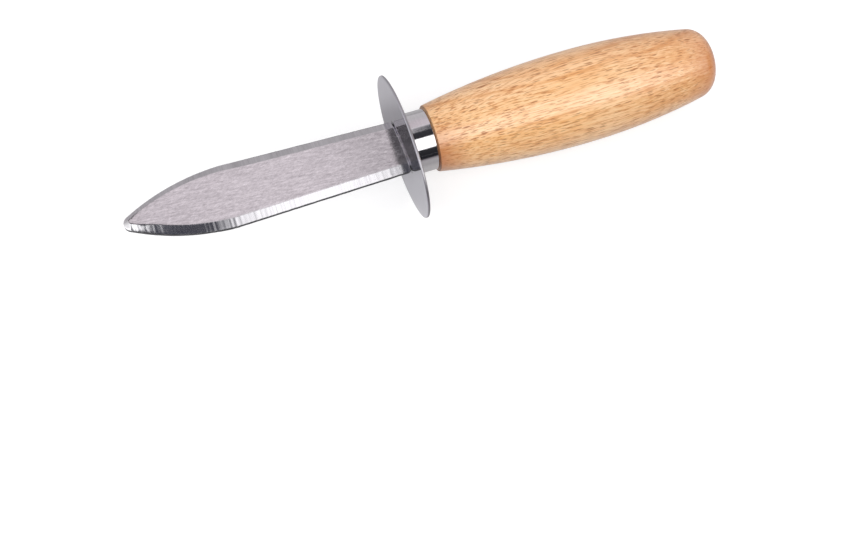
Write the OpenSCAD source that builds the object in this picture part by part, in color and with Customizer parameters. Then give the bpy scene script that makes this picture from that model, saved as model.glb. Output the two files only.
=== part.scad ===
// Oyster knife: a short leaf-shaped blade, an oval guard plate, a steel ferrule
// and a turned wooden handle, held together by a tang bonded into the handle.
// All pieces are drawn along the knife's axis, with x = 0 at the guard's front
// face and the tip towards -X, and are then placed by on_table().

/* [Blade] */
// Length of the blade from the guard's front face to the tip
blade_length = 70.9; // [62:0.1:85]
// Width of the blade at its heel, against the guard
heel_width = 16.2; // [14:0.1:18.5]
// Width of the blade at its widest place
widest_width = 18.9; // [17.5:0.1:23]
// Distance from the guard's front face to the widest place
widest_at = 45; // [38:0.5:50]
// Angle to the axis at which the sides start to curve in to the tip
side_angle = 1.9; // [1:0.1:5]
// Radius that the curved sides close on at the tip
tip_radius = 2.2; // [1:0.1:3]
// Thickness of the blade between its two flats
blade_thickness = 1.8; // [1.5:0.1:2.5]
// Thickness left along the ground edges
edge_thickness = 0.6; // [0.4:0.05:1.2]
// Width of the ground band along each edge
bevel_width = 2.4; // [1:0.1:4]
// Radius of the two corners at the heel
heel_corner = 1.2; // [0.5:0.1:2.5]

/* [Tang] */
// Thickness of the tang, which leaves a small step to the blade's flats
tang_thickness = 1.6; // [1.2:0.1:1.7]
// Width of the tang where it passes the guard
tang_width = 7.5; // [5:0.1:7.7]
// Width of the tang at its far end
tang_end_width = 4.5; // [3:0.1:5]
// Length of the tang behind the guard's front face
tang_length = 52; // [35:1:65]

/* [Guard] */
// Width of the oval guard plate, across the blade
guard_width = 39.9; // [33:0.1:50]
// Height of the oval guard plate, square to the blade's flat
guard_height = 30.4; // [27:0.2:33]
// Radius of the oval's two round ends
guard_end_radius = 12.9; // [11:0.1:13.2]
// Thickness of the guard plate
guard_thickness = 0.7; // [0.6:0.1:2]
// Gap all round the tang in the guard's slot
slot_gap = 0.15; // [0.1:0.05:0.4]

/* [Ferrule] */
// Outer diameter of the ferrule
ferrule_diameter = 15.7; // [14:0.1:17]
// Length of the ferrule
ferrule_length = 6.8; // [4:0.1:12]
// Wall thickness of the ferrule
ferrule_wall = 0.8; // [0.5:0.1:1.2]
// Radius of the rounded outer rims of the ferrule
ferrule_rim = 0.4; // [0.2:0.05:0.45]
// Gap between the ferrule and the handle's neck
ferrule_gap = 0.05; // [0.02:0.01:0.1]

/* [Handle] */
// Length of the handle that shows behind the ferrule
handle_length = 77.5; // [66:0.5:95]
// Diameter of the handle at the ferrule
shoulder_diameter = 17.2; // [17.1:0.1:19]
// Largest diameter of the handle
belly_diameter = 24.5; // [22:0.1:29]
// Distance from the ferrule to the largest diameter
belly_at = 40.5; // [34:0.5:46]
// Radius of the long curve from the belly back to the butt
rear_radius = 172; // [140:1:220]
// Radius of the rounded corner at the butt
butt_corner = 5; // [3:0.1:7]
// Radius of the domed end of the butt
butt_dome = 20; // [16:0.2:45]
// Chamfer on the handle's edge at the ferrule
shoulder_chamfer = 0.3; // [0.1:0.05:0.5]
// Diameter of the hole for the tang
bore_diameter = 8.6; // [8.3:0.1:10]
// Depth of that hole past the end of the tang
bore_spare = 2; // [1:0.5:5]
// Gap between the hardened resin and the hole's wall
resin_gap = 0.05; // [0.02:0.01:0.1]

/* [Hidden] */

// Steps in a full turn, and in a small rounding
round_steps = 180;
rim_steps = 8;
// Length by which cutting shapes reach past what they cut
reach = 2;
// Half height of the shapes that are trimmed to the sheet's thickness
tall = blade_thickness / 2 + 1;
// A length and width that is larger than the whole knife
beyond = 2 * (blade_length + handle_length);

// Taper of the straight sides, which widen from the heel to the widest place
side_taper = atan((widest_width - heel_width) / 2 / widest_at);
// Outward run of the ground band for each unit of height above the edge
bevel_run = bevel_width / ((blade_thickness - edge_thickness) / 2);
// Circle of the curved sides: it leaves the widest place at side_angle and
// touches the inside of the tip's circle
tip_centre = blade_length - tip_radius;
side_reach = tip_centre - widest_at;
side_half = widest_width / 2;
side_radius = (side_reach * side_reach + side_half * side_half - tip_radius * tip_radius)
    / (2 * (side_half * cos(side_angle) - tip_radius - side_reach * sin(side_angle)));
side_centre_x = -widest_at + side_radius * sin(side_angle);
side_centre_y = side_half - side_radius * cos(side_angle);
// The tip is rounded a little fuller than the circle that the sides close on
nose_radius = 1.25 * tip_radius;
nose_start = 0.6 * tip_radius;
// Centre of the heel's corner rounding
corner_y = heel_width / 2 + heel_corner * (tan(side_taper) - 1 / cos(side_taper));

// Oval of the guard: each long side is an arc that touches both round ends
guard_end_place = guard_width / 2 - guard_end_radius;
guard_half_height = guard_height / 2;
guard_side_radius = (guard_end_place * guard_end_place
    + guard_half_height * guard_half_height - guard_end_radius * guard_end_radius)
    / (2 * (guard_half_height - guard_end_radius));
guard_side_place = guard_side_radius - guard_half_height;
guard_join = guard_end_place * guard_side_radius / (guard_side_radius - guard_end_radius);

// Places along the axis
ferrule_start = guard_thickness;
shoulder_x = ferrule_start + ferrule_length;
belly_x = shoulder_x + belly_at;
butt_x = shoulder_x + handle_length;
bore_end = tang_length + bore_spare;

// Radii about the axis
ferrule_radius = ferrule_diameter / 2;
neck_radius = ferrule_radius - ferrule_wall - ferrule_gap;
shoulder_radius = shoulder_diameter / 2;
belly_radius = belly_diameter / 2;
bore_radius = bore_diameter / 2;

// Long curve from the shoulder to the belly: level at the belly
front_rise = belly_radius - shoulder_radius;
front_radius = (belly_at * belly_at + front_rise * front_rise) / (2 * front_rise);
// Circle of the butt's corner, which touches the rear curve and the dome inside
rear_centre_y = belly_radius - rear_radius;
dome_centre_x = butt_x - butt_dome;
centres_apart = norm([dome_centre_x - belly_x, rear_centre_y]);
corner_from_rear = rear_radius - butt_corner;
corner_from_dome = butt_dome - butt_corner;
corner_along = (corner_from_rear * corner_from_rear - corner_from_dome * corner_from_dome
    + centres_apart * centres_apart) / (2 * centres_apart);
corner_across = sqrt(corner_from_rear * corner_from_rear - corner_along * corner_along);
centres_line = [dome_centre_x - belly_x, -rear_centre_y] / centres_apart;
butt_corner_x = belly_x + corner_along * centres_line.x + corner_across * centres_line.y;
butt_corner_y = rear_centre_y + corner_along * centres_line.y - corner_across * centres_line.x;
// The knife lies with its guard on the table: the origin is on the table,
// under the middle of the knife's length
middle_x = (butt_x - blade_length) / 2;
axis_height = guard_height / 2;

module on_table() {
    translate([-middle_x, 0, axis_height]) children();
}

// Turns a shape that stands on +Z so that it lies along +X
module along_axis() {
    rotate([0, 90, 0]) children();
}

// A solid turned about the knife's axis, from a profile whose X is the place
// along the axis and whose Y is the radius
module turned() {
    along_axis() rotate_extrude($fn = round_steps)
        rotate([0, 0, 90]) mirror([0, 1, 0]) children();
}

// Points on a circle about a centre, from one angle to another
function arc(centre, radius, from, to) =
    [for (i = [0:rim_steps])
        let (a = from + (to - from) * i / rim_steps)
        centre + radius * [cos(a), sin(a)]];

// Everything inside one straight side: a bar whose outer face has the ground
// bands above and below the edge
module inside_straight_side() {
    half_edge = edge_thickness / 2;
    run = bevel_run * (tall - half_edge);
    translate([0, heel_width / 2, 0]) rotate([0, 0, -side_taper])
        translate([-beyond / 2, 0, 0]) rotate([90, 0, 90]) linear_extrude(beyond)
            polygon([
                [-beyond, -tall], [-run, -tall], [0, -half_edge],
                [0, half_edge], [-run, tall], [-beyond, tall]
            ]);
}

// Everything inside one curved side: a round plate with ground bands, and a
// block over the straight part of the blade
module inside_curved_side() {
    half_edge = edge_thickness / 2;
    run = bevel_run * (tall - half_edge);
    translate([side_centre_x, side_centre_y, 0]) rotate_extrude($fn = round_steps)
        polygon([
            [0, -tall], [side_radius - run, -tall], [side_radius, -half_edge],
            [side_radius, half_edge], [side_radius - run, tall], [0, tall]
        ]);
    translate([side_centre_x, -beyond, -tall]) cube([beyond, 2 * beyond, 2 * tall]);
}

// Everything behind the rounded nose of the blade
module inside_nose() {
    translate([nose_radius - blade_length, 0, -tall])
        cylinder(r = nose_radius, h = 2 * tall, $fn = round_steps);
    translate([nose_start - blade_length, -beyond, -tall])
        cube([beyond, 2 * beyond, 2 * tall]);
}

// What the rounding takes off one corner of the heel
module heel_corner_waste() {
    size = heel_corner + reach;
    translate([-heel_corner, corner_y, -tall]) linear_extrude(2 * tall) difference() {
        polygon([
            [0, 0], [size, 0], [size, size],
            [size * sin(side_taper), size * cos(side_taper)]
        ]);
        circle(r = heel_corner, $fn = round_steps);
    }
}

// The flat, tapered tang, from a start inside the heel
module tang(start) {
    half = tang_width / 2;
    end_half = tang_end_width / 2;
    translate([0, 0, -tang_thickness / 2]) linear_extrude(tang_thickness)
        polygon([
            [start, -half], [guard_thickness, -half], [tang_length, -end_half],
            [tang_length, end_half], [guard_thickness, half], [start, half]
        ]);
}

// Stamped steel: the ground blade and its tang in one piece
module blade() {
    color("silver") on_table() union() {
        difference() {
            intersection() {
                translate([-blade_length - reach, -beyond, -blade_thickness / 2])
                    cube([blade_length + reach, 2 * beyond, blade_thickness]);
                inside_straight_side();
                mirror([0, 1, 0]) inside_straight_side();
                inside_curved_side();
                mirror([0, 1, 0]) inside_curved_side();
                inside_nose();
            }
            heel_corner_waste();
            mirror([0, 1, 0]) heel_corner_waste();
        }
        tang(-heel_corner);
    }
}

// Outline of the guard: two long sides between two round ends
module guard_oval() {
    intersection() {
        translate([guard_side_place, 0]) circle(r = guard_side_radius, $fn = round_steps);
        translate([-guard_side_place, 0]) circle(r = guard_side_radius, $fn = round_steps);
        square([guard_height + reach, 2 * guard_join], center = true);
    }
    for (side = [-1, 1])
        translate([0, side * guard_end_place]) circle(r = guard_end_radius, $fn = round_steps);
}

// Oval steel plate with the tang's slot
module guard() {
    color("lightsteelblue") on_table() difference() {
        along_axis() linear_extrude(guard_thickness) guard_oval();
        translate([-reach, -tang_width / 2 - slot_gap, -tang_thickness / 2 - slot_gap])
            cube([
                guard_thickness + 2 * reach,
                tang_width + 2 * slot_gap,
                tang_thickness + 2 * slot_gap
            ]);
    }
}

// Short steel tube with rounded outer rims
module ferrule() {
    rim_place = ferrule_radius - ferrule_rim;
    color("gainsboro") on_table() turned()
        polygon(concat(
            [[ferrule_start, ferrule_radius - ferrule_wall]],
            arc([ferrule_start + ferrule_rim, rim_place], ferrule_rim, 180, 90),
            arc([shoulder_x - ferrule_rim, rim_place], ferrule_rim, 90, 0),
            [[shoulder_x, ferrule_radius - ferrule_wall]]
        ));
}

// The part of a circle that lies between two places along the axis, above it
module curve_between(x0, x1, centre, radius) {
    intersection() {
        translate(centre) circle(r = radius, $fn = round_steps);
        translate([x0, 0]) square([x1 - x0, belly_radius + reach]);
    }
}

// Half section of everything in front of the butt's domed end
module inside_dome() {
    translate([dome_centre_x, 0]) circle(r = butt_dome, $fn = round_steps);
    translate([dome_centre_x - beyond, 0]) square([beyond, belly_radius + reach]);
}

// What the chamfer takes off the handle's edge at the ferrule
module shoulder_waste() {
    polygon([
        [shoulder_x - reach, shoulder_radius - shoulder_chamfer - reach],
        [shoulder_x + reach, shoulder_radius - shoulder_chamfer + reach],
        [shoulder_x - reach, shoulder_radius + reach]
    ]);
}

// What the rounding takes off the corner of the butt
module butt_corner_waste() {
    size = butt_corner + reach;
    centre = [butt_corner_x, butt_corner_y];
    to_side = (centre - [belly_x, rear_centre_y]) / corner_from_rear;
    to_end = (centre - [dome_centre_x, 0]) / corner_from_dome;
    translate(centre) difference() {
        polygon([[0, 0], size * to_end, [size, size], size * to_side]);
        circle(r = butt_corner, $fn = round_steps);
    }
}

// Turned wood: neck, shoulder, long belly and rounded butt, with a blind hole
module handle() {
    color("burlywood") on_table() difference() {
        union() {
            turned() difference() {
                intersection() {
                    union() {
                        curve_between(shoulder_x, belly_x,
                            [belly_x, belly_radius - front_radius], front_radius);
                        curve_between(belly_x, butt_x, [belly_x, rear_centre_y], rear_radius);
                    }
                    inside_dome();
                }
                shoulder_waste();
                butt_corner_waste();
            }
            translate([ferrule_start, 0, 0]) along_axis()
                cylinder(r = neck_radius, h = ferrule_length + reach, $fn = round_steps);
        }
        translate([ferrule_start - reach, 0, 0]) along_axis()
            cylinder(r = bore_radius, h = bore_end - ferrule_start + reach, $fn = round_steps);
    }
}

// Hardened resin that fills the hole round the tang
module tang_resin() {
    color("goldenrod") on_table() difference() {
        translate([ferrule_start, 0, 0]) along_axis()
            cylinder(r = bore_radius - resin_gap, h = bore_end - ferrule_start, $fn = round_steps);
        tang(-heel_corner);
    }
}

blade();
guard();
ferrule();
handle();
tang_resin();
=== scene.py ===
import math

import bpy
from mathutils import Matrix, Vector, noise


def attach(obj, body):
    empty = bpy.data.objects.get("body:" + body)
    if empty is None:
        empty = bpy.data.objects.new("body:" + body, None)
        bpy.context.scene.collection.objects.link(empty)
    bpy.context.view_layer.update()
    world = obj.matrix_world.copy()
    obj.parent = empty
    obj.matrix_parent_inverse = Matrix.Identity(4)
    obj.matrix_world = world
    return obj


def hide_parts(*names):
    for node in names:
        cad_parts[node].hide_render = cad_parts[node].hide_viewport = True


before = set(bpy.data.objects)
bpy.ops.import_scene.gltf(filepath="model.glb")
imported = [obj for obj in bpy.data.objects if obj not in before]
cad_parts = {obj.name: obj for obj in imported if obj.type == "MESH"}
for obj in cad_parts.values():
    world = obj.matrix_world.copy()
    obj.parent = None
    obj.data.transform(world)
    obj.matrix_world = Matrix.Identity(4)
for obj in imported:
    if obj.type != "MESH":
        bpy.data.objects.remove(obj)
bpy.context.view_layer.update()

# Sizes in millimetres, along the knife's axis from the guard's front face:
# the tip is towards -X, +Y is across the blade and +Z is up.
MM = 0.001
MIDDLE = 7.05
AXIS_HEIGHT = 15.2

BLADE_LENGTH = 70.9
HEEL_WIDTH = 16.2
WIDEST_WIDTH = 18.9
WIDEST_AT = 45
SIDE_ANGLE = math.radians(1.9)
TIP_RADIUS = 2.2
BLADE_HALF = 0.9
EDGE_HALF = 0.3
BEVEL_WIDTH = 2.4
BEVEL_SLOPE = (BLADE_HALF - EDGE_HALF) / BEVEL_WIDTH
HEEL_CORNER = 1.2
HEEL_ROUND = 0.3
TANG_HALF_WIDTH = 3.75
TANG_END_HALF = 2.25
TANG_HALF = 0.8
TANG_LENGTH = 52
TANG_INSET = 99

GUARD_WIDTH = 39.9
GUARD_HEIGHT = 30.4
GUARD_END_RADIUS = 12.9
GUARD_THICKNESS = 0.7
GUARD_RIM = 0.28
SLOT_GAP = 0.15

FERRULE_RADIUS = 7.85
FERRULE_LENGTH = 6.8
FERRULE_WALL = 0.8
FERRULE_RIM = 0.4
FERRULE_GAP = 0.05

HANDLE_LENGTH = 77.5
SHOULDER_RADIUS = 8.6
BELLY_RADIUS = 12.25
BELLY_AT = 40.5
REAR_RADIUS = 172
BUTT_CORNER = 5
BUTT_DOME = 20
LIP_RADIUS = 0.3
BORE_RADIUS = 4.3
BORE_END = 54

SHOULDER_X = GUARD_THICKNESS + FERRULE_LENGTH
BELLY_X = SHOULDER_X + BELLY_AT
BUTT_X = SHOULDER_X + HANDLE_LENGTH


def place(x, y, z):
    """A point given from the guard's front face and the axis, in the row frame."""
    return Vector(((x - MIDDLE) * MM, y * MM, (z + AXIS_HEIGHT) * MM))


# The camera, at the photo's place and angle.
CAMERA_PLACE = (-49.56, -164.18, 235.93)
CAMERA_TURNS = (29.776, 0.36, -19.243)

camera_data = bpy.data.cameras.new("camera")
camera_data.lens = 48.782
camera_data.sensor_width = 36
camera_data.clip_start = 0.01
camera_data.clip_end = 20
camera = bpy.data.objects.new("camera", camera_data)
bpy.context.scene.collection.objects.link(camera)
camera.location = place(*CAMERA_PLACE)
camera.rotation_euler = [math.radians(a) for a in CAMERA_TURNS]
bpy.context.scene.camera = camera
bpy.context.scene.view_settings.view_transform = "Standard"


def mesh_of_rings(name, rings, first=None, last=None, closed=False):
    """A smooth mesh through rings of points, each with the same count. first and last
    are the points that close its ends; closed joins the last ring to the first."""
    count = len(rings[0])
    points = [place(*p) for ring in rings for p in ring]
    faces = []
    steps = len(rings) if closed else len(rings) - 1
    for r in range(steps):
        a, b = r * count, ((r + 1) % len(rings)) * count
        for i in range(count):
            j = (i + 1) % count
            faces.append((a + i, a + j, b + j, b + i))
    if first is not None:
        points.append(place(*first))
        faces += [((i + 1) % count, i, len(points) - 1) for i in range(count)]
    if last is not None:
        base = (len(rings) - 1) * count
        points.append(place(*last))
        faces += [(base + i, base + (i + 1) % count, len(points) - 1) for i in range(count)]
    mesh = bpy.data.meshes.new(name)
    mesh.from_pydata(points, [], faces)
    mesh.update()
    mesh.shade_smooth()
    piece = bpy.data.objects.new(name, mesh)
    bpy.context.scene.collection.objects.link(piece)
    return piece


def turned(name, profile, steps=240):
    """A piece turned about the axis, from (place, radius) pairs. Ends on the axis close
    in a point; a profile with no end on the axis closes on itself."""
    solid = profile[0][1] == 0
    body = profile[1:-1] if solid else profile
    rings = [
        [(x, r * math.cos(a), r * math.sin(a))
         for a in (2 * math.pi * i / steps for i in range(steps))]
        for x, r in body
    ]
    if solid:
        return mesh_of_rings(name, rings, (profile[0][0], 0, 0), (profile[-1][0], 0, 0))
    return mesh_of_rings(name, rings, closed=True)


def arc(x, r, radius, start, end, steps):
    """Points on a circle about (x, r), from one angle to another in degrees."""
    angles = [math.radians(start + (end - start) * i / steps) for i in range(steps + 1)]
    return [(x + radius * math.cos(a), r + radius * math.sin(a)) for a in angles]


# The blade's outline, half of it: a straight side, a curved side and a round nose.
side_taper = math.atan((WIDEST_WIDTH - HEEL_WIDTH) / 2 / WIDEST_AT)
side_reach = BLADE_LENGTH - TIP_RADIUS - WIDEST_AT
side_half = WIDEST_WIDTH / 2
side_radius = (side_reach ** 2 + side_half ** 2 - TIP_RADIUS ** 2) / (
    2 * (side_half * math.cos(SIDE_ANGLE) - TIP_RADIUS - side_reach * math.sin(SIDE_ANGLE)))
side_x = -WIDEST_AT + side_radius * math.sin(SIDE_ANGLE)
side_y = side_half - side_radius * math.cos(SIDE_ANGLE)
tip_x = TIP_RADIUS - BLADE_LENGTH
tip_turn = math.atan2(-side_y, side_x - tip_x)
corner_y = HEEL_WIDTH / 2 + HEEL_CORNER * (math.tan(side_taper) - 1 / math.cos(side_taper))

# How the bevels are ground: the far one narrows towards the tip, the near one is a little
# hollow along its edge, and both are uneven, the near one less so towards the guard.
FAR_BEVEL_LESS = 1.2
NARROWING_ALONG = (-38, -66)
NARROWING_ACROSS = (-2.6, 0.3)
EDGE_HOLLOW = 0.6
HOLLOW_CURVE = 0.06
CREASE_BLEND = 0.03
RAGGED_FAR, RAGGED_NEAR = 0.04, 0.02
EVEN_FROM, EVEN_AT = -28, -18
EVEN_SHARE = 0.7
EDGE_DENTS_FAR, EDGE_DENTS_NEAR = 0.002, 0.006

# Points of a cross section: places from the edge, close together at the bevel's crease,
# and then shares of what is left to the middle.
FROM_EDGE = [0.01, 0.06, 0.15, 0.4, 0.8, 1.2, 1.6, 2.0, 2.2, 2.3, 2.4, 2.5, 2.65, 3.0]
TO_MIDDLE = [0.8, 0.6, 0.4, 0.2]
LEAST_HALF_WIDTH = 3.4
MOST_SLANT = 1.35
SIDE_DROP = 0.03
THINNEST_HALF = 0.02

# Places of the cross sections, from the guard: closer at the heel and at the nose.
HEEL_STATIONS = [0, 0.01, 0.04, 0.09, 0.15, 0.21, 0.27, 0.3, 0.45, 0.6, 0.75, 0.9, 1.05, 1.2]
MIDDLE_STATIONS = 290
NOSE_STATIONS = 20
NOSE_REACH = 2.4


def wobble(x, seed, size):
    """Uneven grinding: a smooth random value from -1 to 1 for a place along the blade."""
    return noise.noise(Vector((x / size, seed, 0.37)))


def straight_inset(x, y):
    """Distance from the straight side, inwards."""
    return (HEEL_WIDTH / 2 - x * math.tan(side_taper) - y) * math.cos(side_taper)


def curved_inset(x, y):
    """Distance from the curved side, inwards."""
    return side_radius - math.hypot(x - side_x, y - side_y)


def inset(x, y):
    """Distance from the nearest side of the blade, inwards."""
    y = abs(y)
    if x < tip_x and y < (tip_x - x) * math.tan(tip_turn):
        return TIP_RADIUS - math.hypot(x - tip_x, y)
    near = straight_inset(x, y)
    return min(near, curved_inset(x, y)) if x < side_x else near


def half_width(x):
    """Half the blade's width at a place, with its nose and heel corners."""
    width = HEEL_WIDTH / 2 - x * math.tan(side_taper)
    if x < side_x:
        width = min(width, side_y + math.sqrt(side_radius ** 2 - (x - side_x) ** 2))
    if x < tip_x - TIP_RADIUS * math.cos(tip_turn):
        width = math.sqrt(max(0, TIP_RADIUS ** 2 - (x - tip_x) ** 2))
    corner = x + HEEL_CORNER
    if corner > 0:
        width = min(width, corner_y + math.sqrt(max(0, HEEL_CORNER ** 2 - corner ** 2)))
    return width


def soft_least(a, b, blend):
    """The lesser of two values, with their meeting rounded off."""
    h = max(0, blend - abs(a - b)) / blend
    return min(a, b) - h * h * blend / 4


def held(value, low, high):
    """A value's share of the way from low to high, from 0 to 1."""
    return max(0, min(1, (value - low) / (high - low)))


def far_less(x):
    """How much narrower the far side's bevel is at a place along the blade."""
    return FAR_BEVEL_LESS * held(x, *NARROWING_ALONG)


def ground_inset(x, y):
    """The inset as the bevels have it: more on the far side, where its bevel is narrower."""
    return inset(x, y) + far_less(x) * held(y, *NARROWING_ACROSS)


def blade_top(x, y, ragged):
    """Height of the blade's upper side over its middle plane. ragged moves the bevel in or
    out, as a share of its width."""
    band = EDGE_HALF + (ground_inset(x, y) + BEVEL_WIDTH * ragged) * BEVEL_SLOPE
    if y < 0:
        hollow = max(0, EDGE_HOLLOW - inset(x, y))
        band += HOLLOW_CURVE * (hollow ** 2 - EDGE_HOLLOW ** 2)
    return soft_least(BLADE_HALF, band, CREASE_BLEND)


def blade_stations():
    """Places of the blade's cross sections, from the guard to just before the tip."""
    nose = [NOSE_REACH * (1 - math.cos(math.pi / 2 * i / NOSE_STATIONS))
            for i in range(1, NOSE_STATIONS + 1)]
    start, end = HEEL_STATIONS[-1], BLADE_LENGTH - nose[-1]
    middle = [start + (end - start) * i / MIDDLE_STATIONS for i in range(1, MIDDLE_STATIONS)]
    return [-d for d in HEEL_STATIONS + middle + [BLADE_LENGTH - d for d in reversed(nose)]]


def blade_section(x):
    """Closed ring of points round the blade at one place."""
    width = half_width(x)
    slant = side_radius / (width - side_y) if x < side_x else 1
    slant = min(MOST_SLANT, slant)
    shrink = min(1, width / LEAST_HALF_WIDTH / slant) * slant
    far_shrink = shrink * (1 - far_less(x) / BEVEL_WIDTH)
    heel_drop = 0.0
    if x > -HEEL_ROUND:
        heel_drop = HEEL_ROUND - math.sqrt(max(0, HEEL_ROUND ** 2 - (x + HEEL_ROUND) ** 2))
    near = 1 - EDGE_DENTS_NEAR * (1 + wobble(x, 3.1, 2.3) + 0.5 * wobble(x, 8.7, 0.7))
    far = 1 - EDGE_DENTS_FAR * (1 + wobble(x, 5.9, 2.9))
    sides = []
    for less in (far_shrink, shrink):
        columns = [width - d * less for d in FROM_EDGE]
        sides.append(columns + [columns[-1] * k for k in TO_MIDDLE])
    across = [far * c for c in sides[0]] + [0] + [-near * c for c in reversed(sides[1])]
    even = 1 - EVEN_SHARE * held(x, EVEN_FROM, EVEN_AT)
    ragged = [RAGGED_FAR * wobble(x, 1.3, 0.45), RAGGED_NEAR * even * wobble(x, 2.4, 0.5)]
    tops = [(y, blade_top(x, y, ragged[y < 0]) - heel_drop) for y in across]
    ends = [far * width, -near * width]
    edge = [max(THINNEST_HALF, top[1] - SIDE_DROP) for top in (tops[0], tops[-1])]
    ring = [(x, y, z) for y, z in tops]
    ring += [(x, ends[1], edge[1]), (x, ends[1], 0), (x, ends[1], -edge[1])]
    ring += [(x, y, -z) for y, z in reversed(tops)]
    ring += [(x, ends[0], -edge[0]), (x, ends[0], 0), (x, ends[0], edge[0])]
    return ring


def make_blade():
    """The blade and its tang as one closed mesh, with each point's distance from the edge.
    The tang's sections are the heel's, made narrower and pressed flat, and its points are
    marked as far from any edge."""
    sections = [blade_section(x) for x in reversed(blade_stations())]
    heel = sections[-1]
    wide = max(p[1] for p in heel)
    high = max(p[2] for p in heel)
    for x, half in ((0, TANG_HALF_WIDTH), (GUARD_THICKNESS, TANG_HALF_WIDTH),
                    (TANG_LENGTH, TANG_END_HALF)):
        sections.append([
            (x, half * y / wide, TANG_HALF * max(-1, min(1, z / high * 1.3)))
            for _, y, z in heel
        ])
    blade = mesh_of_rings("blade", sections, (-BLADE_LENGTH, 0, 0), (TANG_LENGTH, 0, 0))
    insets = blade.data.attributes.new("inset", "FLOAT", "POINT")
    for point, vertex in zip(insets.data, blade.data.vertices):
        x = vertex.co.x / MM + MIDDLE
        y = vertex.co.y / MM
        point.value = ground_inset(x, y) if x <= 0 else TANG_INSET
    return blade


blade = make_blade()
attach(blade, "root")
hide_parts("blade")


def guard_edge(angle):
    """Distance from the guard's middle to its oval edge, in a direction."""
    end_place = GUARD_WIDTH / 2 - GUARD_END_RADIUS
    half = GUARD_HEIGHT / 2
    side = (end_place ** 2 + half ** 2 - GUARD_END_RADIUS ** 2) / (
        2 * (half - GUARD_END_RADIUS))
    dy, dz = abs(math.cos(angle)), abs(math.sin(angle))
    join = math.atan2(side - half, end_place)
    join_y = end_place + GUARD_END_RADIUS * math.cos(join)
    join_z = GUARD_END_RADIUS * math.sin(join)
    if dz * join_y < dy * join_z:
        middle = dy * end_place
        reach = middle + math.sqrt(middle ** 2 - end_place ** 2 + GUARD_END_RADIUS ** 2)
    else:
        middle = -dz * (side - half)
        reach = middle + math.sqrt(middle ** 2 - (side - half) ** 2 + side ** 2)
    return reach


def make_guard():
    """The oval plate with soft rims and the tang's slot."""
    steps = 320
    slot_y, slot_z = TANG_HALF_WIDTH + SLOT_GAP, TANG_HALF + SLOT_GAP
    corner = math.atan2(slot_z, slot_y)
    angles = sorted([2 * math.pi * i / steps for i in range(steps)]
                    + [corner, math.pi - corner, math.pi + corner, -corner % (2 * math.pi)])

    def outer(x, less):
        """A ring parallel to the oval edge, at a place along the axis."""
        return [(x, (guard_edge(a) - less) * math.cos(a), (guard_edge(a) - less) * math.sin(a))
                for a in angles]

    def slot(x, more=0):
        """A ring round the slot, or a little outside it."""
        ring = []
        for a in angles:
            c, s = math.cos(a), math.sin(a)
            reach = min(slot_y / max(abs(c), 1e-9), slot_z / max(abs(s), 1e-9)) + more
            ring.append((x, reach * c, reach * s))
        return ring

    front = [(GUARD_RIM - GUARD_RIM * math.sin(math.radians(t)),
              GUARD_RIM - GUARD_RIM * math.cos(math.radians(t)))
             for t in (90, 72, 54, 36, 18, 0)]
    rings = [slot(0), slot(0, 0.02), outer(0, 6), outer(0, 1.2), outer(0, GUARD_RIM + 0.04)]
    rings += [outer(x, less) for x, less in front]
    rings += [outer(GUARD_THICKNESS - x, less) for x, less in reversed(front)]
    rings += [outer(GUARD_THICKNESS, less) for less in (GUARD_RIM + 0.04, 1.2, 6)]
    rings += [slot(GUARD_THICKNESS, 0.02), slot(GUARD_THICKNESS)]
    return mesh_of_rings("guard", rings, closed=True)


guard = make_guard()
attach(guard, "root")
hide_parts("guard")


def make_ferrule():
    """The polished tube with rounded rims."""
    inner = FERRULE_RADIUS - FERRULE_WALL
    rim_at = FERRULE_RADIUS - FERRULE_RIM
    start, end = GUARD_THICKNESS, SHOULDER_X
    profile = [(start, inner)]
    profile += arc(start + FERRULE_RIM, rim_at, FERRULE_RIM, 180, 90, 10)
    profile += [(start + FERRULE_RIM + 0.1, FERRULE_RADIUS),
                (end - FERRULE_RIM - 0.1, FERRULE_RADIUS)]
    profile += arc(end - FERRULE_RIM, rim_at, FERRULE_RIM, 90, 0, 10)
    profile += [(end, inner)]
    return turned("ferrule", profile)


ferrule = make_ferrule()
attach(ferrule, "root")
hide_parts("ferrule")


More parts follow.
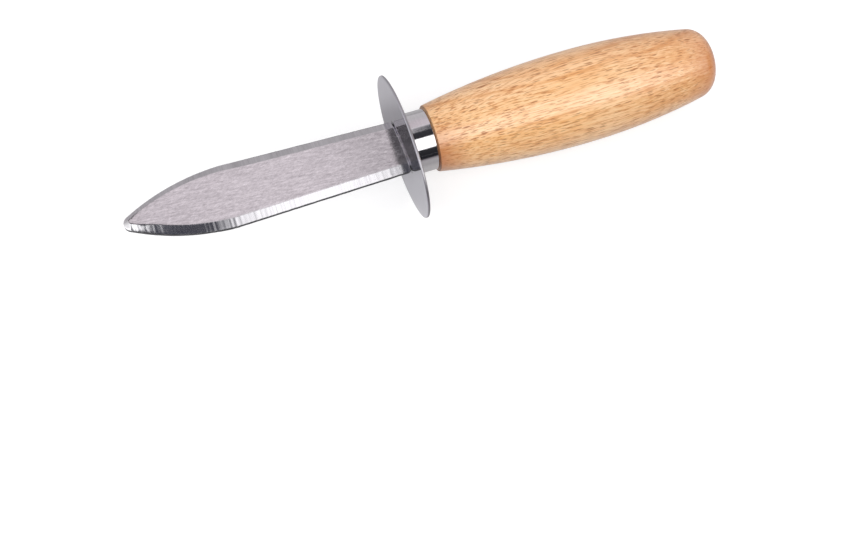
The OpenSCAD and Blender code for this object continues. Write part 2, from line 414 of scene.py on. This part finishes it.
def make_handle():
    """The turned wooden grip with its neck and blind hole."""
    rise = BELLY_RADIUS - SHOULDER_RADIUS
    front_radius = (BELLY_AT ** 2 + rise ** 2) / (2 * rise)
    rear_y = BELLY_RADIUS - REAR_RADIUS
    dome_x = BUTT_X - BUTT_DOME
    apart = math.hypot(dome_x - BELLY_X, rear_y)
    from_rear, from_dome = REAR_RADIUS - BUTT_CORNER, BUTT_DOME - BUTT_CORNER
    along = (from_rear ** 2 - from_dome ** 2 + apart ** 2) / (2 * apart)
    across = math.sqrt(from_rear ** 2 - along ** 2)
    line = ((dome_x - BELLY_X) / apart, -rear_y / apart)
    corner_x = BELLY_X + along * line[0] + across * line[1]
    corner_r = rear_y + along * line[1] - across * line[0]
    side_turn = math.degrees(math.atan2(corner_r - rear_y, corner_x - BELLY_X))
    end_turn = math.degrees(math.atan2(corner_r, corner_x - dome_x))
    start_turn = 90 + math.degrees(math.asin(BELLY_AT / front_radius))
    neck = FERRULE_RADIUS - FERRULE_WALL - FERRULE_GAP
    front = arc(BELLY_X, BELLY_RADIUS - front_radius, front_radius, start_turn, 90, 60)
    profile = [(BORE_END, 0), (BORE_END, BORE_RADIUS), (GUARD_THICKNESS, BORE_RADIUS),
               (GUARD_THICKNESS, neck), (SHOULDER_X, neck),
               (SHOULDER_X, SHOULDER_RADIUS - LIP_RADIUS - 0.05)]
    lip = SHOULDER_RADIUS + LIP_RADIUS * 0.14
    profile += [(SHOULDER_X + LIP_RADIUS * (1 - math.cos(a)), lip - LIP_RADIUS * (1 - math.sin(a)))
                for a in (math.pi / 2 * i / 8 for i in range(8))]
    profile += [p for p in front if p[0] > SHOULDER_X + LIP_RADIUS + 0.1]
    profile += arc(BELLY_X, rear_y, REAR_RADIUS, 90, side_turn, 50)[1:]
    profile += arc(corner_x, corner_r, BUTT_CORNER, side_turn, end_turn, 20)[1:]
    profile += arc(dome_x, 0, BUTT_DOME, end_turn, 0, 12)[1:-1]
    profile += [(BUTT_X, 0)]
    return turned("handle", profile)


handle = make_handle()
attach(handle, "root")
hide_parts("handle")


def node(tree, kind, inputs=None, **settings):
    """Adds a node, sets its properties, and sets or links its inputs."""
    made = tree.nodes.new(kind)
    for key, value in settings.items():
        setattr(made, key, value)
    for key, value in (inputs or {}).items():
        if isinstance(value, bpy.types.NodeSocket):
            tree.links.new(value, made.inputs[key])
        else:
            made.inputs[key].default_value = value
    return made


def maths(tree, operation, a, b=0.0, c=0.0, clamp=False):
    """One Math node's result."""
    return node(tree, "ShaderNodeMath", {0: a, 1: b, 2: c},
                operation=operation, use_clamp=clamp).outputs[0]


def blend_colour(tree, share, a, b):
    """Two colours mixed by a share."""
    return node(tree, "ShaderNodeMix", {0: share, 6: a, 7: b}, data_type="RGBA").outputs[2]


def ramp(tree, value, low, high, to_low=0.0, to_high=1.0):
    """A value mapped from one range to another and held inside it."""
    return node(tree, "ShaderNodeMapRange",
                {0: value, 1: low, 2: high, 3: to_low, 4: to_high}).outputs[0]


def millimetres(tree, scale):
    """The surface's own place in millimetres, stretched by a scale for each axis."""
    where = node(tree, "ShaderNodeTexCoord").outputs["Object"]
    return node(tree, "ShaderNodeVectorMath", {0: where, 1: [s * 1000 for s in scale]},
                operation="MULTIPLY").outputs[0]


def along_axes(tree):
    """The surface's own place in millimetres along X, Y and Z."""
    return node(tree, "ShaderNodeSeparateXYZ", {0: millimetres(tree, (1, 1, 1))}).outputs


def streak_group():
    """Fine parallel scratches, as from a grinding belt or a polishing wheel."""
    group = bpy.data.node_groups.new("streaks", "ShaderNodeTree")
    for name, kind in (("Place", "NodeSocketVector"), ("Fine", "NodeSocketFloat"),
                       ("Coarse", "NodeSocketFloat")):
        group.interface.new_socket(name, in_out="INPUT", socket_type=kind)
    for name in ("Shade", "Height"):
        group.interface.new_socket(name, in_out="OUTPUT", socket_type="NodeSocketFloat")
    start = node(group, "NodeGroupInput")
    fine = node(group, "ShaderNodeTexNoise", {
        "Vector": start.outputs["Place"], "Scale": start.outputs["Fine"],
        "Detail": 3.0, "Roughness": 0.7}).outputs["Fac"]
    coarse = node(group, "ShaderNodeTexNoise", {
        "Vector": start.outputs["Place"], "Scale": start.outputs["Coarse"],
        "Detail": 2.0, "Roughness": 0.5}).outputs["Fac"]
    both = maths(group, "ADD", maths(group, "MULTIPLY", fine, 0.6),
                 maths(group, "MULTIPLY", coarse, 0.4))
    end = node(group, "NodeGroupOutput")
    group.links.new(ramp(group, both, 0.3, 0.7), end.inputs["Shade"])
    group.links.new(both, end.inputs["Height"])
    return group


streaks = streak_group()


def mixed(tree, share, a, b):
    """Two values mixed by a share."""
    return node(tree, "ShaderNodeMix", {0: share, 2: a, 3: b}).outputs[0]


def streaked(tree, scale, fine, coarse, turn=0.0):
    """The streak group with its own stretch, turned about the blade's normal in degrees."""
    place = node(tree, "ShaderNodeVectorRotate", {
        "Vector": millimetres(tree, (1, 1, 1)), "Angle": math.radians(turn)},
        rotation_type="Z_AXIS").outputs[0]
    place = node(tree, "ShaderNodeVectorMath", {0: place, 1: scale},
                 operation="MULTIPLY").outputs[0]
    return node(tree, "ShaderNodeGroup", {
        "Place": place, "Fine": fine, "Coarse": coarse}, node_tree=streaks).outputs


def finish(name, inputs):
    """A material with one Principled shader. inputs gives its sockets by name."""
    material = bpy.data.materials.new(name)
    material.use_nodes = True
    tree = material.node_tree
    tree.nodes.clear()
    values = inputs(tree)
    shader = node(tree, "ShaderNodeBsdfPrincipled", values)
    out = node(tree, "ShaderNodeOutputMaterial")
    tree.links.new(shader.outputs[0], out.inputs["Surface"])
    return material


def bump(tree, height, depth, strength=1.0):
    """A normal from a height whose full range is a depth in millimetres."""
    return node(tree, "ShaderNodeBump", {
        "Height": height, "Distance": depth * MM, "Strength": strength}).outputs["Normal"]


def blade_steel(tree):
    """Satin flats brushed along the blade, and bands ground across its edges. The brushing
    spreads reflections across its scratches."""
    inset_mm = node(tree, "ShaderNodeAttribute", attribute_name="inset").outputs["Fac"]
    along = streaked(tree, (0.38, 1.0, 0.3), 2.3, 1.3)
    crossed = streaked(tree, (0.09, 1.0, 0.3), 2.6, 1.7, 6.0)
    across = streaked(tree, (1.0, 0.04, 0.1), 3.4, 1.1)
    slow = streaked(tree, (1.0, 0.1, 0.1), 0.22, 0.09)
    specks = streaked(tree, (0.8, 1.5, 0.3), 2.4, 1.5, -20.0)
    grain = mixed(tree, 0.3, mixed(tree, 0.45, along["Shade"], crossed["Shade"]), specks["Shade"])
    parts = along_axes(tree)
    far = ramp(tree, parts[1], -0.5, 0.5)
    ragged = maths(tree, "SUBTRACT", inset_mm,
                   maths(tree, "MULTIPLY", across["Height"], 0.35))
    band = ramp(tree, ragged, 2.05, 2.25, 1.0, 0.0)
    # Painted shade: steel within 0.31 mm of the blade's middle plane, the narrow sides of its edge,
    # is coloured near-black, so the edge shows as a dark line.
    from_middle = maths(tree, "ABSOLUTE", maths(tree, "SUBTRACT", parts[2], AXIS_HEIGHT))
    rim = ramp(tree, from_middle, 0.31, 0.345, 1.0, 0.0)
    # Painted shade: the far bevel's steel is coloured about half as bright as the near bevel's.
    ground = blend_colour(tree, far, (0.66, 0.655, 0.68, 1), (0.33, 0.32, 0.335, 1))
    bright = blend_colour(tree, far, (0.96, 0.96, 0.97, 1), (0.56, 0.545, 0.565, 1))
    dark = blend_colour(tree, band, (0.25, 0.24, 0.25, 1), ground)
    light = blend_colour(tree, band, (0.98, 0.96, 0.98, 1), bright)
    uneven = mixed(tree, 0.35, across["Shade"], slow["Shade"])
    shade = mixed(tree, band, grain, uneven)
    steel = blend_colour(tree, shade, dark, light)
    depth = ramp(tree, parts[0], EVEN_FROM - MIDDLE, EVEN_AT - MIDDLE, 0.4, 0.15)
    height = mixed(tree, band, maths(tree, "MULTIPLY", along["Height"], 0.25),
                   maths(tree, "MULTIPLY", across["Height"], depth))
    lengthwise = node(tree, "ShaderNodeCombineXYZ", {
        0: band, 1: maths(tree, "SUBTRACT", 1.0, band)})
    return {
        "Base Color": blend_colour(tree, rim, steel, (0.10, 0.10, 0.105, 1)),
        "Metallic": 1.0,
        "Roughness": mixed(tree, band, ramp(tree, along["Height"], 0.3, 0.7, 0.17, 0.22), 0.075),
        "Anisotropic": 0.85,
        "Tangent": lengthwise.outputs[0],
        "Normal": bump(tree, height, 0.02),
    }


def guard_steel(tree):
    """Polished plate with faint wheel marks, a rough stamped rim, and painted shade in the two
    corners beside the blade's heel."""
    marks = streaked(tree, (1.0, 0.7, 0.12), 5.0, 0.8)
    parts = along_axes(tree)
    rim = ramp(tree, parts[0], 0.06 - MIDDLE, 0.22 - MIDDLE)
    plate = blend_colour(tree, marks["Shade"], (0.555, 0.54, 0.60, 1), (0.635, 0.62, 0.68, 1))
    steel = blend_colour(tree, rim, plate, (0.36, 0.35, 0.37, 1))
    # Painted shade: the colour goes near-black in the two corners beside the blade's heel, where the
    # crevice between plate and blade falls dark.
    corner_y = maths(tree, "SUBTRACT", maths(tree, "ABSOLUTE", parts[1]), 7.2)
    corner_z = maths(tree, "SUBTRACT", parts[2], AXIS_HEIGHT)
    far = maths(tree, "SQRT", maths(tree, "ADD", maths(tree, "POWER", corner_y, 2.0),
                                    maths(tree, "POWER", corner_z, 2.0)))
    painted_corner_shade = ramp(tree, far, 0.95, 1.3, 1.0, 0.0)
    return {
        "Base Color": blend_colour(tree, painted_corner_shade, steel, (0.06, 0.06, 0.065, 1)),
        "Metallic": 1.0,
        "Roughness": mixed(tree, rim, ramp(tree, marks["Height"], 0.3, 0.7, 0.07, 0.13), 0.45),
        "Normal": bump(tree, marks["Height"], 0.003),
    }


def ferrule_steel(tree):
    """Bright turned tube with fine marks round it."""
    marks = streaked(tree, (1.0, 0.05, 0.05), 9.0, 2.0)
    return {
        "Base Color": blend_colour(tree, marks["Shade"],
                                   (0.53, 0.515, 0.53, 1), (0.60, 0.585, 0.60, 1)),
        "Metallic": 1.0,
        "Roughness": ramp(tree, marks["Height"], 0.3, 0.7, 0.07, 0.12),
        "Normal": bump(tree, marks["Height"], 0.002),
    }


def wood_group():
    """Masks for one piece of open-pored wood whose grain runs along the axis: growth
    layers, dark lines, fibres, fine hairs, clouds of colour, and pores."""
    group = bpy.data.node_groups.new("open_pored_wood", "ShaderNodeTree")
    for name, kind in (("Place", "NodeSocketVector"), ("Layer Width", "NodeSocketFloat"),
                       ("Pore Size", "NodeSocketFloat"), ("Pore Share", "NodeSocketFloat"),
                       ("Crowding", "NodeSocketFloat")):
        group.interface.new_socket(name, in_out="INPUT", socket_type=kind)
    for name in ("Layer", "Line", "Fibre", "Hair", "Cloud", "Pore"):
        group.interface.new_socket(name, in_out="OUTPUT", socket_type="NodeSocketFloat")
    start = node(group, "NodeGroupInput").outputs

    def stretched(scale):
        """The place, stretched by a scale for each axis."""
        return node(group, "ShaderNodeVectorMath", {0: start["Place"], 1: scale},
                    operation="MULTIPLY").outputs[0]

    def noise_of(scale, detail, roughness=0.6):
        """Noise of the stretched place."""
        return node(group, "ShaderNodeTexNoise", {
            "Vector": stretched(scale), "Scale": 1.0, "Detail": detail,
            "Roughness": roughness}).outputs["Fac"]

    parts = node(group, "ShaderNodeSeparateXYZ", {0: start["Place"]}).outputs
    drift = noise_of((0.018, 0.05, 0.05), 2.0)
    depth = maths(group, "ADD", maths(group, "MULTIPLY", parts[1], 0.72),
                  maths(group, "MULTIPLY", parts[2], 0.69))
    depth = maths(group, "ADD", depth, maths(group, "MULTIPLY", drift, 7.0))
    depth = maths(group, "DIVIDE", depth, start["Layer Width"])
    layers = node(group, "ShaderNodeTexNoise", {
        "W": depth, "Scale": 1.0, "Detail": 3.0, "Roughness": 0.65},
        noise_dimensions="1D").outputs["Fac"]
    breaks = noise_of((0.045, 0.4, 0.4), 3.0)
    line = maths(group, "MULTIPLY", ramp(group, layers, 0.60, 0.72),
                 ramp(group, breaks, 0.42, 0.58))
    fibre = noise_of((0.05, 1.9, 1.9), 4.0, 0.65)
    hair = noise_of((0.28, 3.0, 3.0), 2.0, 0.5)
    cloud = noise_of((0.04, 0.08, 0.08), 2.0, 0.5)
    crowd = ramp(group, noise_of((0.06, 0.2, 0.2), 2.0), 0.38, 0.62, -0.25, 0.25)
    crowd = maths(group, "ADD", crowd, start["Crowding"])
    sway = noise_of((0.03, 0.15, 0.15), 2.0)
    bent = node(group, "ShaderNodeVectorMath", {
        0: start["Place"],
        1: node(group, "ShaderNodeCombineXYZ", {1: sway, 2: sway}).outputs[0]},
        operation="ADD").outputs[0]
    rarity = maths(group, "SUBTRACT", 1.0, start["Pore Share"])

    def pores(scale, share, size):
        """A mask of long pores: one in each stretched cell that has the luck for it."""
        cells = node(group, "ShaderNodeTexVoronoi", {
            "Vector": node(group, "ShaderNodeVectorMath", {0: bent, 1: scale},
                           operation="MULTIPLY").outputs[0],
            "Scale": 1.0, "Randomness": 1.0}).outputs
        lot = node(group, "ShaderNodeSeparateColor", {0: cells["Color"]}).outputs
        odds = maths(group, "ADD", maths(group, "SUBTRACT", lot[0], rarity), crowd)
        width = ramp(group, maths(group, "ADD", odds, share), 0.0, 0.6)
        width = maths(group, "MULTIPLY", width, maths(group, "MULTIPLY", start["Pore Size"], size))
        deep = ramp(group, maths(group, "SUBTRACT", width, cells["Distance"]), -0.02, 0.14)
        return maths(group, "MULTIPLY", deep, ramp(group, lot[1], 0.0, 1.0, 0.45, 1.0))

    pore = maths(group, "MAXIMUM", pores((0.30, 2.7, 2.7), 0.05, 0.95),
                 pores((0.17, 1.7, 1.7), -0.25, 0.9))
    pore = maths(group, "MAXIMUM", maths(group, "MULTIPLY", pore, 0.85),
                 pores((0.12, 1.1, 1.1), -0.5, 0.9))
    end = node(group, "NodeGroupOutput")
    group.links.new(ramp(group, layers, 0.35, 0.68), end.inputs["Layer"])
    group.links.new(line, end.inputs["Line"])
    group.links.new(fibre, end.inputs["Fibre"])
    group.links.new(hair, end.inputs["Hair"])
    group.links.new(cloud, end.inputs["Cloud"])
    group.links.new(pore, end.inputs["Pore"])
    return group


def lacquered_wood(tree):
    """Pale orange-tan wood with open pores, under clear lacquer. It is deeper in colour
    towards the butt, reddish at both ends on its -Y side, partly stain and partly painted shade,
    and dark in the seam behind the ferrule."""
    parts = along_axes(tree)
    wood = node(tree, "ShaderNodeGroup", {
        "Place": millimetres(tree, (1, 1, 1)), "Layer Width": 1.6,
        "Pore Size": 0.42, "Pore Share": 0.84,
        "Crowding": ramp(tree, parts[0], 8, 50, 0.09, -0.04)}, node_tree=wood_masks).outputs
    rear = ramp(tree, parts[0], 38, 62)
    pale = blend_colour(tree, rear, (0.92, 0.56, 0.27, 1), (0.81, 0.44, 0.18, 1))
    deep = blend_colour(tree, rear, (0.86, 0.45, 0.16, 1), (0.72, 0.325, 0.09, 1))
    colour = blend_colour(tree, wood["Layer"], pale, deep)
    colour = blend_colour(tree, ramp(tree, wood["Cloud"], 0.42, 0.68, 0, 0.65), colour,
                          (0.93, 0.62, 0.34, 1))
    colour = blend_colour(tree, ramp(tree, wood["Fibre"], 0.52, 0.70, 0, 0.7), colour,
                          (0.68, 0.28, 0.065, 1))
    colour = blend_colour(tree, ramp(tree, wood["Hair"], 0.54, 0.64, 0, 0.85), colour,
                          (0.58, 0.22, 0.045, 1))
    colour = blend_colour(tree, ramp(tree, wood["Hair"], 0.46, 0.32, 0, 0.5), colour,
                          (0.95, 0.67, 0.38, 1))
    colour = blend_colour(tree, maths(tree, "MULTIPLY", wood["Line"], 0.8), colour,
                          (0.64, 0.25, 0.045, 1))
    # Both ends turn reddish on the -Y side, the butt's end most and a little all round: partly a
    # stain, partly painted shade.
    start = SHOULDER_X - MIDDLE
    uneven = maths(tree, "MULTIPLY", wood["Fibre"], 6.0)
    near = ramp(tree, maths(tree, "ADD", parts[0], uneven), start + 3.6, start + 11, 1.0, 0.0)
    end = BUTT_X - MIDDLE
    last = ramp(tree, maths(tree, "SUBTRACT", parts[0], uneven), end - 12, end - 3)
    low = ramp(tree, parts[1], -1.0, -8.0)
    stain_and_low_shade = maths(tree, "MULTIPLY", maths(tree, "MAXIMUM", near, last), low)
    butt = maths(tree, "MULTIPLY", ramp(tree, parts[0], end - 11, end - 1),
                 ramp(tree, parts[1], 9, -5, 0.15, 0.8))
    stain_and_low_shade = maths(tree, "MAXIMUM", maths(tree, "MULTIPLY", stain_and_low_shade, 0.75), butt)
    colour = blend_colour(tree, stain_and_low_shade, colour, (0.50, 0.15, 0.04, 1))
    colour = blend_colour(tree, wood["Pore"], colour, (0.31, 0.080, 0.004, 1))
    from_axis = maths(tree, "SQRT", maths(tree, "ADD", maths(tree, "POWER", parts[1], 2.0), maths(
        tree, "POWER", maths(tree, "SUBTRACT", parts[2], AXIS_HEIGHT), 2.0)))
    seam = ramp(tree, from_axis, FERRULE_RADIUS + 0.25, FERRULE_RADIUS + 0.45, 0.1, 0.35)
    seam = maths(tree, "MULTIPLY", seam, ramp(tree, parts[0], start + 0.03, start + 0.2, 1.0, 0.0))
    colour = blend_colour(tree, seam, colour, (0.16, 0.05, 0.02, 1))
    return {
        "Base Color": colour,
        "Roughness": ramp(tree, wood["Fibre"], 0.3, 0.7, 0.42, 0.55),
        "Coat Weight": maths(tree, "SUBTRACT", 1.0, maths(
            tree, "MAXIMUM", maths(tree, "MULTIPLY", wood["Pore"], 0.9),
            maths(tree, "MULTIPLY", seam, 0.8))),
        "Coat Roughness": ramp(tree, wood["Fibre"], 0.3, 0.7, 0.25, 0.34),
        "Coat IOR": 1.65,
        "Normal": bump(tree, maths(tree, "MULTIPLY", wood["Pore"], -1.0), 0.04, 0.4),
    }


def cured_resin(tree):
    """Cloudy amber resin."""
    cloud = node(tree, "ShaderNodeTexNoise", {
        "Vector": millimetres(tree, (0.4, 0.4, 0.4)), "Scale": 1.0, "Detail": 3.0}).outputs["Fac"]
    return {
        "Base Color": blend_colour(tree, ramp(tree, cloud, 0.35, 0.65),
                                   (0.42, 0.27, 0.10, 1), (0.60, 0.43, 0.20, 1)),
        "Roughness": ramp(tree, cloud, 0.3, 0.7, 0.4, 0.6),
        "Normal": bump(tree, cloud, 0.1, 0.5),
    }


wood_masks = wood_group()
blade.data.materials.append(finish("blade_steel", blade_steel))
guard.data.materials.append(finish("guard_steel", guard_steel))
ferrule.data.materials.append(finish("ferrule_steel", ferrule_steel))
handle.data.materials.append(finish("lacquered_wood", lacquered_wood))
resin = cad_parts["tang_resin"]
resin.data.materials.clear()
resin.data.materials.append(finish("cured_resin", cured_resin))


FLOOR_UP = Vector((-0.056532, -0.031977, 0.997889)).normalized()
FLOOR_HALF = 3.0
CARD_LIFT = 0.0005


def flat_sheet(name, x0, x1, y0, y1, height):
    """A rectangle parallel to the table top, which touches the guard and the handle."""
    mesh = bpy.data.meshes.new(name)
    mesh.from_pydata([(x0, y0, 0), (x1, y0, 0), (x1, y1, 0), (x0, y1, 0)], [], [(0, 1, 2, 3)])
    sheet = bpy.data.objects.new(name, mesh)
    bpy.context.scene.collection.objects.link(sheet)
    sheet.rotation_mode = "QUATERNION"
    sheet.rotation_quaternion = Vector((0, 0, 1)).rotation_difference(FLOOR_UP)
    sheet.location = FLOOR_UP * (lowest + height)
    return sheet


lowest = min(FLOOR_UP.dot(v.co) for piece in (guard, handle) for v in piece.data.vertices)
floor = flat_sheet("floor", -FLOOR_HALF, FLOOR_HALF, -FLOOR_HALF, FLOOR_HALF, 0)


def pale_floor(tree):
    """White table top. What the camera and the metal see of it is brighter than the light
    on the knife alone would make it."""
    path = node(tree, "ShaderNodeLightPath").outputs
    mirror = maths(tree, "ADD", path["Is Glossy Ray"], path["Is Transmission Ray"], clamp=True)
    across = along_axes(tree)[1]
    # What the metal sees of the table carries painted light and a painted shadow: brightest up to 14
    # mm in front of the axis, a painted shadow from 12 to 22 mm behind it, lighter again past 28 mm,
    # and darkened from 14 to 24 mm in front.
    level = maths(tree, "ADD", ramp(tree, across, 0, 12, 0.33, 0.07),
                  ramp(tree, across, 22, 28, 0, 0.11))
    level = maths(tree, "SUBTRACT", level, ramp(tree, across, -14, -24, 0, 0.22))
    return {
        "Base Color": (0.43, 0.43, 0.435, 1),
        "Roughness": 0.9,
        "Specular IOR Level": 0.0,
        "Emission Color": (1, 1, 1, 1),
        "Emission Strength": maths(tree, "ADD", maths(tree, "MULTIPLY", path["Is Camera Ray"], 0.68),
                                   maths(tree, "MULTIPLY", mirror, level)),
    }


floor.data.materials.append(finish("pale_floor", pale_floor))

# A black card on the table beside the knife, which only the polished steel shows: a painted dark
# reflection of the room beyond the table.
card = flat_sheet("black_card", -0.5, 0.6, -1.4, -0.045, CARD_LIFT)
card.visible_camera = False
card.visible_diffuse = False
card.visible_shadow = False
card.visible_transmission = False


def black_card(tree):
    """Dull black paper that turns grey towards the knife, a painted dark reflection."""
    away = along_axes(tree)[1]
    return {
        "Base Color": blend_colour(tree, ramp(tree, away, -48, -85),
                                   (0.5, 0.48, 0.5, 1), (0.02, 0.02, 0.024, 1)),
        "Roughness": 0.9,
        "Specular IOR Level": 0.0,
    }


card.data.materials.append(finish("black_card", black_card))


def softbox(name, azimuth, tilt, distance, width, height, radiance):
    """A rectangular lamp that faces the knife. azimuth 0 is the camera's side (-Y) and
    90 the butt's side (+X); tilt is the angle from straight above, in degrees."""
    a, t = math.radians(azimuth), math.radians(tilt)
    away = Vector((math.sin(a) * math.sin(t), -math.cos(a) * math.sin(t), math.cos(t)))
    data = bpy.data.lights.new(name, "AREA")
    data.shape = "RECTANGLE"
    data.size, data.size_y = width, height
    data.energy = radiance * math.pi * width * height
    lamp = bpy.data.objects.new(name, data)
    bpy.context.scene.collection.objects.link(lamp)
    lamp.location = away * distance
    lamp.rotation_mode = "QUATERNION"
    lamp.rotation_quaternion = away.to_track_quat("Z", "Y")


softbox("front_softbox", 0, 44.6, 0.7, 1.3, 0.523, 2.6)

# The room: bands of brightness by the turn from straight above towards the camera's side
# (-Y), in degrees, with cards that the knife's polished sides show.
ROOM_BANDS = [
    (-180, (0.70, 0.69, 0.70)), (-110, (0.82, 0.81, 0.82)), (-60, (0.78, 0.76, 0.78)),
    (-50, (0.86, 0.80, 0.84)), (-42, (0.94, 0.86, 0.91)), (-22, (0.98, 0.90, 0.95)),
    (-21, (1.02, 0.98, 1.02)), (-14, (0.075, 0.075, 0.10)), (-2, (0.06, 0.06, 0.07)),
    (24, (0.035, 0.035, 0.04)), (99, (0.03, 0.03, 0.035)), (108, (0.68, 0.66, 0.68)),
]
# Each card: turn from and to; side (direction along X) from and to; how soft it is in turn,
# at the side's low end and at its high end; and its colour.
ROOM_CARDS = [
    ((-21, 0), (0.0, 0.1765), (2.0, 0.06, 0.002), (1.32, 1.29, 1.32)),
    ((-54, -13), (-0.60, -0.120), (2.0, 0.01, 0.008), (0.04, 0.038, 0.042)),
    ((-50, -22), (0.128, 0.170), (2.0, 0.010, 0.003), (0.64, 0.59, 0.62)),
    ((-50, -22), (0.155, 0.170), (2.0, 0.006, 0.003), (0.42, 0.39, 0.41)),
    ((-56, 30), (-1.1, -0.280), (3.0, 0.01, 0.015), (1.0, 0.99, 1.0)),
    ((-30, 30), (-0.36, -0.272), (2.0, 0.01, 0.02), (1.5, 1.48, 1.5)),
    ((-16, 100), (0.45, 0.75), (3.0, 0.03, 0.03), (1.2, 1.17, 1.2)),
]

world = bpy.data.worlds.new("studio")
bpy.context.scene.world = world
world.use_nodes = True
room = world.node_tree
room.nodes.clear()
direction = node(room, "ShaderNodeSeparateXYZ",
                 {0: node(room, "ShaderNodeTexCoord").outputs["Generated"]}).outputs
turn = maths(room, "ARCTAN2", maths(room, "MULTIPLY", direction[1], -1.0), direction[2])
turn = maths(room, "MULTIPLY", turn, 180 / math.pi)
bands = node(room, "ShaderNodeValToRGB", {0: ramp(room, turn, -180, 180)})
points = bands.color_ramp.elements
while len(points) < len(ROOM_BANDS):
    points.new(0.5)
for point, (degrees, colour) in zip(points, ROOM_BANDS):
    point.position = (degrees + 180) / 360
    point.color = (*colour, 1)
wall = bands.outputs["Color"]
for (turn0, turn1), (side0, side1), (soft, low, high), colour in ROOM_CARDS:
    share = maths(room, "MULTIPLY", ramp(room, turn, turn0 - soft, turn0 + soft),
                  ramp(room, turn, turn1 - soft, turn1 + soft, 1.0, 0.0))
    share = maths(room, "MULTIPLY", share, ramp(room, direction[0], side0 - low, side0 + low))
    share = maths(room, "MULTIPLY", share,
                  ramp(room, direction[0], side1 - high, side1 + high, 1.0, 0.0))
    wall = blend_colour(room, share, wall, (*colour, 1))
seen = node(room, "ShaderNodeLightPath").outputs["Is Camera Ray"]
shown = blend_colour(room, seen, wall, (1, 1, 1, 1))
back = node(room, "ShaderNodeBackground", {"Color": shown, "Strength": 1.0})
room.links.new(back.outputs[0], node(room, "ShaderNodeOutputWorld").inputs["Surface"])
